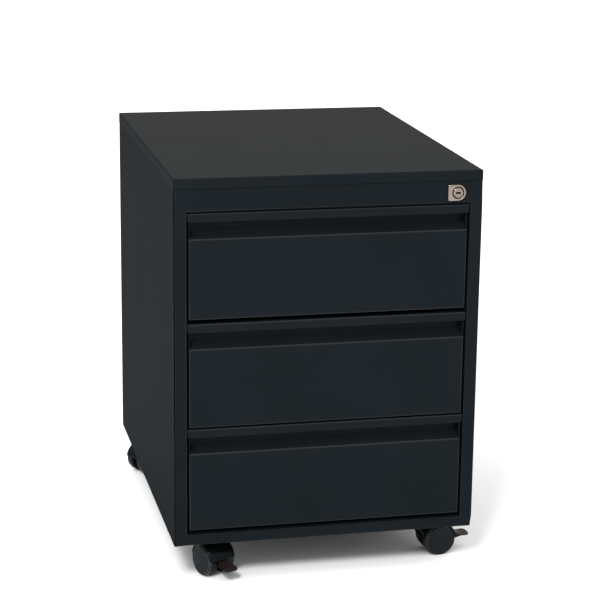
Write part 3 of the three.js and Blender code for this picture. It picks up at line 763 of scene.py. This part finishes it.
def lock():
    """The housing with its plate, the stepped plug in it, and a near-black slug inside the keyway that is
    painted shade to darken it.
    """
    plate_low, plate_high = box_mm("lock_housing")
    face = LOCK.y - plate_low.y
    plate_back = face - PLATE_THICKNESS
    barrel_back = LOCK.y - plate_high.y
    profile = [
        (BARREL_R, barrel_back),
        (BARREL_R, plate_back),
        (lock_plate(0), plate_back),
        (lock_plate(0), face - 0.9),
        (lock_plate(0.25), face - 0.3),
        (lock_plate(0.9), face),
        (BORE_R + 1.3, face),
        (BORE_R + 0.9, face - 0.15),
        (BORE_R, face - 1.3),
        (BORE_R, barrel_back),
    ]
    bm = bmesh.new()
    closed_ring(bm, turned(bm, profile, LOCK, FORWARD, PLATE_SIDES, RIGHT))
    piece = weighted(as_object("lock_face", outwards(bm), NICKEL))
    place(piece, "cabinet", "nickel", "lock_housing")
    plug_low, plug_high = box_mm("lock_plug")
    front = LOCK.y - plug_low.y
    slot = lobe(*KEYWAY, KEYWAY_SQUARENESS)
    slot_rim = lobe(*(half + KEYWAY_CHAMFER for half in KEYWAY), KEYWAY_SQUARENESS)
    profile = [
        (ON_AXIS, LOCK.y - plug_high.y),
        (PLUG_R, LOCK.y - plug_high.y),
        (PLUG_R, front - 1.0),
        (PLUG_R - 0.3, front - 0.3),
        (PLUG_R - 0.8, front),
        (PLUG_R - 1.7, front),
        (PLUG_R - 2.1, front - 0.45),
        (PLUG_R - 2.6, front - 0.25),
        (slot_rim, front - 0.25),
        (slot, front - 0.55),
        (slot, front - 9),
    ]
    bm = bmesh.new()
    capped(bm, turned(bm, profile, LOCK, FORWARD, PLUG_SIDES, RIGHT))
    piece = weighted(as_object("lock_barrel", outwards(bm), NICKEL))
    place(piece, "lock", "nickel", "lock_plug")
    # Painted shade: a near-black slug of the slot's outline, 3 mm inside the keyway, makes the keyway look
    # dark.
    profile = [(slot, 0), (slot, 0.4)]
    bm = bmesh.new()
    keyway = LOCK + FORWARD * (front - 3.2)
    capped(bm, turned(bm, profile, keyway, FORWARD, PLUG_SIDES, RIGHT))
    place(as_object("lock_keyway_shade", outwards(bm), KEYWAY_SHADE), "lock", "nickel")


def lock_cam():
    """The cam screwed to the plug's tail, with its pin in the locking bar's arm and its nut."""
    front, back = LOCK.y + CAM_SPAN[0], LOCK.y + CAM_SPAN[1]
    eye = (LOCK.x + CAM_THROW * math.cos(CAM_ANGLE), LOCK.z + CAM_THROW * math.sin(CAM_ANGLE))
    lean = math.degrees(CAM_ANGLE)
    outline = arc((LOCK.x, LOCK.z), CAM_BOSS_R, lean + 100, lean + 260)
    outline += arc(eye, CAM_EYE_R, lean - 85, lean + 85)
    bm = bmesh.new()
    prism(bm, outline, front, back, sideways)
    pin_profile = [(ON_AXIS, 0), (2, 0), (2, 5.3), (1.7, 5.7), (ON_AXIS, 5.7)]
    capped(bm, turned(bm, pin_profile, (eye[0], front + 0.3, eye[1]), (0, 1, 0), 32))
    nut = [(hexagon(4.2), 0), (hexagon(4.2), 2.0), (hexagon(3.8), 2.3), (2.2, 2.3), (2.0, 2.9),
           (ON_AXIS, 2.9)]
    capped(bm, turned(bm, nut, (LOCK.x, back - 0.1, LOCK.z), (0, 1, 0), 48))
    piece = eased(as_object("lock_cam", outwards(bm), ZINC), 0.2)
    place(piece, "lock", "zinc_steel")


def locking_hook(number):
    """A hook pressed out of the locking bar, with rounded ends."""
    name = f"locking_hook_{number}"
    low, high = box_mm(name)
    corner = HOOK_CORNER
    root = high.x + HOOK_ROOT
    outline = [(root, low.z), (root, high.z)]
    outline += arc((low.x + corner, high.z - corner), corner, 90, 180, 8)
    outline += arc((low.x + corner, low.z + corner), corner, 180, 270, 8)
    bm = bmesh.new()
    prism(bm, outline, low.y + 0.02, high.y - 0.02, sideways)
    piece = eased(as_object(f"bar_hook_{number}", outwards(bm), ZINC), 0.25)
    place(piece, "locking_bar", "zinc_steel", name)


lock()
lock_cam()
for number in DRAWERS:
    locking_hook(number)
bar = bpy.data.objects["locking_bar"]
bar.data.materials.clear()
bar.data.materials.append(ZINC)
eased(bar, 0.25)


# ------------------------------------------------------------------ castors
WHEEL_R = 25
WHEEL_INSET = 7.6
RIM_START = 12.5
GLOSSY_RINGS = ((21.3, 22.4), (24.1, 25.1))
TRAIL = 22
HOOD_R = 28
HOOD_HALF = 22.4
HOOD_FRONT_ANGLE = 9
HOOD_REAR_ANGLE = 172
WEB_R = HOOD_R - 0.6
WEB_HUB_R = 18
WEB_FRONT_ANGLE = 15
BRAKED_WEB_FRONT_ANGLE = 62
BRAKED_WEB_LOW_ANGLE = 296
WEB_HALF = 6.4
NECK_HALF = 11
LUG_HALF = 1.75
PEDAL_SLOT_HALF = 2.25
PEDAL_PIVOT = Vector((TRAIL + 14, 0, WHEEL_R + 0.5))
PEDAL_REACH = 53.5
TOE_HALF = 11.6
TOE_CORNER = 6.5
TOE_RIBS = 4
RIB_PITCH = 3.2
PEDAL_PRESSED = {"front_left": 8, "front_right": 0}
PLATE_CORNER = 4
SCREW_INSET = 5.5
CASTOR_PLACES = ("front_left", "front_right", "rear_left", "rear_right")


def castor_frame(name):
    """From a castor's own space, swivel axis on Z and wheels trailing along X, to the cabinet's."""
    swivel = Vector(JOINTS[f"swivel_{name}"]["pos_m"]) / MM
    axle = Vector(JOINTS[f"wheel_{name}_a_spin"]["axis"])
    trail = axle.cross(Vector((0, 0, 1)))
    turn = Matrix((trail, axle, Vector((0, 0, 1)))).transposed().to_4x4()
    return Matrix.Translation((swivel.x, swivel.y, 0)) @ turn


def swept_arc(bm, section, start, end, steps=40):
    """A closed section of (y, radius) carried round the axle from one angle to another, in degrees."""
    rows = []
    for i in range(steps + 1):
        angle = math.radians(start + (end - start) * i / steps)
        rows.append([
            bm.verts.new((TRAIL + radius * math.cos(angle), y, WHEEL_R + radius * math.sin(angle)))
            for y, radius in section])
    for row, following in zip(rows, rows[1:]):
        for i in range(len(section)):
            j = (i + 1) % len(section)
            bm.faces.new((row[i], row[j], following[j], following[i]))
    bm.faces.new(list(reversed(rows[0])))
    bm.faces.new(rows[-1])


def castor_hood(name):
    """The hood over both wheels, with the web, neck, swivel stem and axle ends."""
    bm = bmesh.new()
    inner = HOOD_R - 1.8
    edge = WHEEL_R + 0.8
    half = HOOD_HALF
    section = [
        (-half, edge - 1.2), (-half + 0.2, edge), (-half + 1.2, edge + 0.9), (-half + 3.5, HOOD_R - 0.4),
        (-half + 6.5, HOOD_R), (half - 6.5, HOOD_R), (half - 3.5, HOOD_R - 0.4), (half - 1.2, edge + 0.9),
        (half - 0.2, edge), (half, edge - 1.2), (half - 1.1, edge - 1.3), (half - 2.6, inner - 0.4),
        (half - 6.5, inner), (-half + 6.5, inner), (-half + 2.6, inner - 0.4), (-half + 1.1, edge - 1.3)]
    swept_arc(bm, section, HOOD_FRONT_ANGLE, HOOD_REAR_ANGLE)
    axle = (TRAIL, WHEEL_R)
    if name not in PEDAL_PRESSED:
        web = arc(axle, WEB_R, WEB_FRONT_ANGLE, HOOD_REAR_ANGLE)
        web += arc(axle, WEB_HUB_R, HOOD_REAR_ANGLE, 360 + WEB_FRONT_ANGLE)
    else:
        cheek = TRAIL + 8
        web = arc(axle, WEB_R, BRAKED_WEB_FRONT_ANGLE, HOOD_REAR_ANGLE)
        web += arc(axle, WEB_HUB_R, HOOD_REAR_ANGLE, BRAKED_WEB_LOW_ANGLE, 20)
        web += [(cheek, WHEEL_R - 16), (cheek, WHEEL_R + 7.5), (cheek + 4.8, WHEEL_R + 7.5)]
        lug = [(cheek - 2, WHEEL_R - 12), (cheek + 7, WHEEL_R - 8), (cheek + 10, WHEEL_R - 2),
               (cheek + 10, WHEEL_R + 6), (cheek + 4, WHEEL_R + 12), (cheek - 2, WHEEL_R + 12)]
        prism(bm, lug, -LUG_HALF, LUG_HALF, sideways)
        pin_ends = [(ON_AXIS, 0), (1.2, 0), (1.5, 0.3), (1.5, 2 * WEB_HALF - 0.3), (1.2, 2 * WEB_HALF),
                    (ON_AXIS, 2 * WEB_HALF)]
        capped(bm, turned(bm, pin_ends, PEDAL_PIVOT - Vector((0, WEB_HALF, 0)), (0, 1, 0), 20))
    prism(bm, web, -WEB_HALF, WEB_HALF, sideways)
    neck = [(-10, 57), (-10, 47), (-3, 44)] + arc(axle, HOOD_R - 0.4, 146, 88, 16) + [(11, 57)]
    prism(bm, neck, -NECK_HALF, NECK_HALF, sideways)
    stem = [(ON_AXIS, 54), (9, 54), (9, 58), (8.3, 58.4), (8.3, 59.6), (8.8, 60), (8.8, 61.3), (8.4, 61.6),
            (ON_AXIS, 61.6)]
    capped(bm, turned(bm, stem, (0, 0, 0), (0, 0, 1), 48))
    for side in (-1, 1):
        axle_end = [(3.5, 0), (3.5, 20.6), (3.0, 21.2), (ON_AXIS, 21.2)]
        capped(bm, turned(bm, axle_end, (TRAIL, 0, WHEEL_R), (0, side, 0), 32))
    outwards(bm)
    bm.transform(castor_frame(name))
    piece = eased(as_object(f"castor_hood_{name}", bm, BLACK_NYLON), 0.6, 3)
    place(piece, f"castor_{name}", "black_nylon", f"castor_fork_{name}")


def castor_wheel(name, letter):
    """A solid moulded wheel: crowned tread, a stepped rim and a shallow dished face round its hub."""
    side = 1 if letter == "a" else -1
    profile = [
        (ON_AXIS, 14), (3.8, 14), (3.8, 0), (6.5, 0), (7, 0.4), (21, 0.4), (21.6, 0), (23.9, 0), (24.7, 0.5),
        (25, 1.4), (25, 12.2), (24.85, 13.2), (24.3, 14.2), (23.6, 14.7), (22.9, 14.8), (22.6, 14.5),
        (22.3, 14.5), (22.0, 14.9), (21.5, 15.5), (20.6, 15.9), (19.8, 15.8), (19.4, 15.6), (18.8, 15.7),
        (14, 16.1), (8, 16.3), (3, 16.4), (ON_AXIS, 16.4)]
    bm = bmesh.new()
    centre = Vector((TRAIL, side * WHEEL_INSET, WHEEL_R))
    capped(bm, turned(bm, profile, centre, (0, side, 0), 96))
    outwards(bm)
    for face in bm.faces:
        arm = face.calc_center_median() - centre
        radius = math.hypot(arm.x, arm.z)
        glossy = any(inner < radius < outer for inner, outer in GLOSSY_RINGS)
        face.material_index = int(glossy and side * arm.y > RIM_START)
    bm.transform(castor_frame(name))
    piece = weighted(as_object(f"castor_tyre_{name}_{letter}", bm, WHEEL_PLASTIC))
    piece.data.materials.append(WHEEL_RIM)
    place(piece, f"wheel_{name}_{letter}", "wheel_plastic", f"castor_wheel_{name}_{letter}")


def brake_pedal(name):
    """A forked lever about its pin with a rounded, ribbed toe."""
    u, w = PEDAL_PIVOT.x, PEDAL_PIVOT.z
    tip = TRAIL + PEDAL_REACH
    root = TRAIL + 20.5
    bm = bmesh.new()
    for side in (-1, 1):
        cheeks = sorted((side * PEDAL_SLOT_HALF, side * WEB_HALF))
        fork = arc((u, w), 4.5, 50, 250, 20) + [(root + 1, w - 4.4), (root + 1, w + 2.6)]
        prism(bm, fork, *cheeks, sideways)
    lever = [(root, w - 8.6), (root + 5, w - 8.0), (tip - 8, w - 2.6), (tip - 2.6, w - 1.4),
             (tip - 4, w + 0.9), (root, w + 2.8)]
    prism(bm, lever, -WEB_HALF, WEB_HALF, sideways)
    toe_root = TRAIL + HOOD_R + 1.4
    corner = TOE_CORNER
    toe = [(toe_root, -WEB_HALF + 0.5), (toe_root + 4, -TOE_HALF + 1)]
    toe += arc((tip - corner, -TOE_HALF + corner), corner, -90, 0, 10)
    toe += arc((tip - corner, TOE_HALF - corner), corner, 0, 90, 10)
    toe += [(toe_root + 4, TOE_HALF - 1), (toe_root, WEB_HALF - 0.5)]
    prism(bm, toe, w - 1.6, w + 1.1, upright)
    for rib in range(TOE_RIBS):
        x = tip - 5.0 - RIB_PITCH * rib
        half = TOE_HALF - 2.4 - 0.4 * rib
        prism(bm, [(x, w + 0.9), (x + 1.2, w + 0.9), (x + 0.9, w + 1.7), (x + 0.3, w + 1.7)],
              -half, half, sideways)
    outwards(bm)
    press = Matrix.Rotation(math.radians(PEDAL_PRESSED[name]), 4, "Y")
    pivot = Matrix.Translation(PEDAL_PIVOT)
    bm.transform(castor_frame(name) @ pivot @ press @ pivot.inverted())
    piece = eased(as_object(f"pedal_{name}", bm, PEDAL_PLASTIC), 0.45, 3)
    place(piece, f"pedal_{name}", "pedal_plastic", f"brake_pedal_{name}")


def castor_plate(name):
    """The mounting plate with rounded corners, the ball race under it and four pan-head screws."""
    low, high = box_mm(f"castor_plate_{name}")
    middle = (low + high) / 2
    half = (high.x - low.x) / 2
    bm = bmesh.new()
    corner = PLATE_CORNER
    outline = []
    for i, (sx, sy) in enumerate(((1, 1), (-1, 1), (-1, -1), (1, -1))):
        centre = (middle.x + sx * (half - corner), middle.y + sy * (half - corner))
        outline += arc(centre, corner, 90 * i, 90 * i + 90, 8)
    prism(bm, outline, low.z, high.z, upright)
    race = [(9.8, 0), (14.5, 0), (14.5, -1.0), (13.6, -2.4), (11.4, -3.0), (10.2, -3.0), (9.8, -2.6)]
    closed_ring(bm, turned(bm, race, (middle.x, middle.y, low.z + 0.1), (0, 0, 1), 64))
    for sx in (-1, 1):
        for sy in (-1, 1):
            head = [(3.4, 0), (3.4, 0.5), (3.0, 1.3), (2.3, 1.7), (hexagon(1.4), 1.7), (hexagon(1.4), 0.6)]
            seat = (middle.x + sx * (half - SCREW_INSET), middle.y + sy * (half - SCREW_INSET), low.z)
            capped(bm, turned(bm, head, seat, (0, 0, -1), 36))
    piece = eased(as_object(f"mounting_plate_{name}", outwards(bm), ZINC), 0.3)
    place(piece, "cabinet", "zinc_steel", f"castor_plate_{name}")


for name in CASTOR_PLACES:
    castor_plate(name)
    castor_hood(name)
    castor_wheel(name, "a")
    castor_wheel(name, "b")
for name in PEDAL_PRESSED:
    brake_pedal(name)


# ------------------------------------------------------------------ stage, light and camera
def area_light(name, place_at, target, size, power, colour=(1, 1, 1)):
    """A softbox that looks at the target; size is its width and height in metres."""
    data = bpy.data.lights.new(name, "AREA")
    data.shape = "RECTANGLE"
    data.size, data.size_y = size
    data.energy = power
    data.color = colour
    light = bpy.data.objects.new(name, data)
    light.location = place_at
    light.rotation_euler = (Vector(target) - Vector(place_at)).to_track_quat("-Z", "Y").to_euler()
    bpy.context.scene.collection.objects.link(light)


FLOOR_HALF = 40000
HORIZON_LIGHT = 0.8
ZENITH_LIGHT = 1.95
KEY_POWER = 230
BACK_POWER = 37.5
WARM = (1.0, 0.86, 0.74)


def studio():
    """A pale floor to the horizon under a sky that brightens upwards, with one softbox in front and a
    warmer one behind."""
    floor = bmesh.new()
    outline = [(-FLOOR_HALF, -FLOOR_HALF), (FLOOR_HALF, -FLOOR_HALF),
               (FLOOR_HALF, FLOOR_HALF), (-FLOOR_HALF, FLOOR_HALF)]
    floor.faces.new([floor.verts.new((x, y, 0)) for x, y in outline])
    material, nodes, links, shader = new_material("studio_floor")
    shader.inputs["Base Color"].default_value = (0.8, 0.8, 0.8, 1)
    shader.inputs["Roughness"].default_value = 0.9
    shader.inputs["Specular IOR Level"].default_value = 0.1
    stage = as_object("studio_floor", floor, material)
    world = bpy.data.worlds.new("studio")
    world.use_nodes = True
    nodes, links = world.node_tree.nodes, world.node_tree.links
    direction = nodes.new("ShaderNodeTexCoord")
    parts = nodes.new("ShaderNodeSeparateXYZ")
    fade = nodes.new("ShaderNodeMapRange")
    fade.interpolation_type = "SMOOTHSTEP"
    fade.inputs["From Min"].default_value = 0.1
    fade.inputs["From Max"].default_value = 1.0
    fade.inputs["To Min"].default_value = HORIZON_LIGHT
    fade.inputs["To Max"].default_value = ZENITH_LIGHT
    links.new(direction.outputs["Generated"], parts.inputs["Vector"])
    links.new(parts.outputs["Z"], fade.inputs["Value"])
    background = nodes["Background"]
    background.inputs["Color"].default_value = (1, 1, 1, 1)
    links.new(fade.outputs["Result"], background.inputs["Strength"])
    bpy.context.scene.world = world
    middle = (0, 0, 0.3)
    area_light("key_softbox", (-1.8, -3.4, 3.6), middle, size=(1.1, 1.1), power=KEY_POWER)
    area_light("back_softbox", (1.4, 5.2, 1.9), (0, 0, 0.6), size=(4.0, 1.6), power=BACK_POWER, colour=WARM)


def photo_camera():
    """Stands front-left of the cabinet, above it, with a long lens and no shift."""
    yaw, pitch, roll = math.radians(12.72), math.radians(14.73), math.radians(0.71)
    data = bpy.data.cameras.new("camera")
    data.sensor_width = 36
    data.lens = 117.0
    data.clip_end = 100
    camera = bpy.data.objects.new("camera", data)
    camera.location = (-0.649, -2.977, 1.158)
    forward = Vector((math.sin(yaw) * math.cos(pitch), math.cos(yaw) * math.cos(pitch), -math.sin(pitch)))
    turn = forward.to_track_quat("-Z", "Y").to_matrix() @ Matrix.Rotation(roll, 3, "Z")
    camera.rotation_euler = turn.to_euler()
    bpy.context.scene.collection.objects.link(camera)
    bpy.context.scene.camera = camera


studio()
photo_camera()
bpy.context.scene.view_settings.view_transform = "Standard"
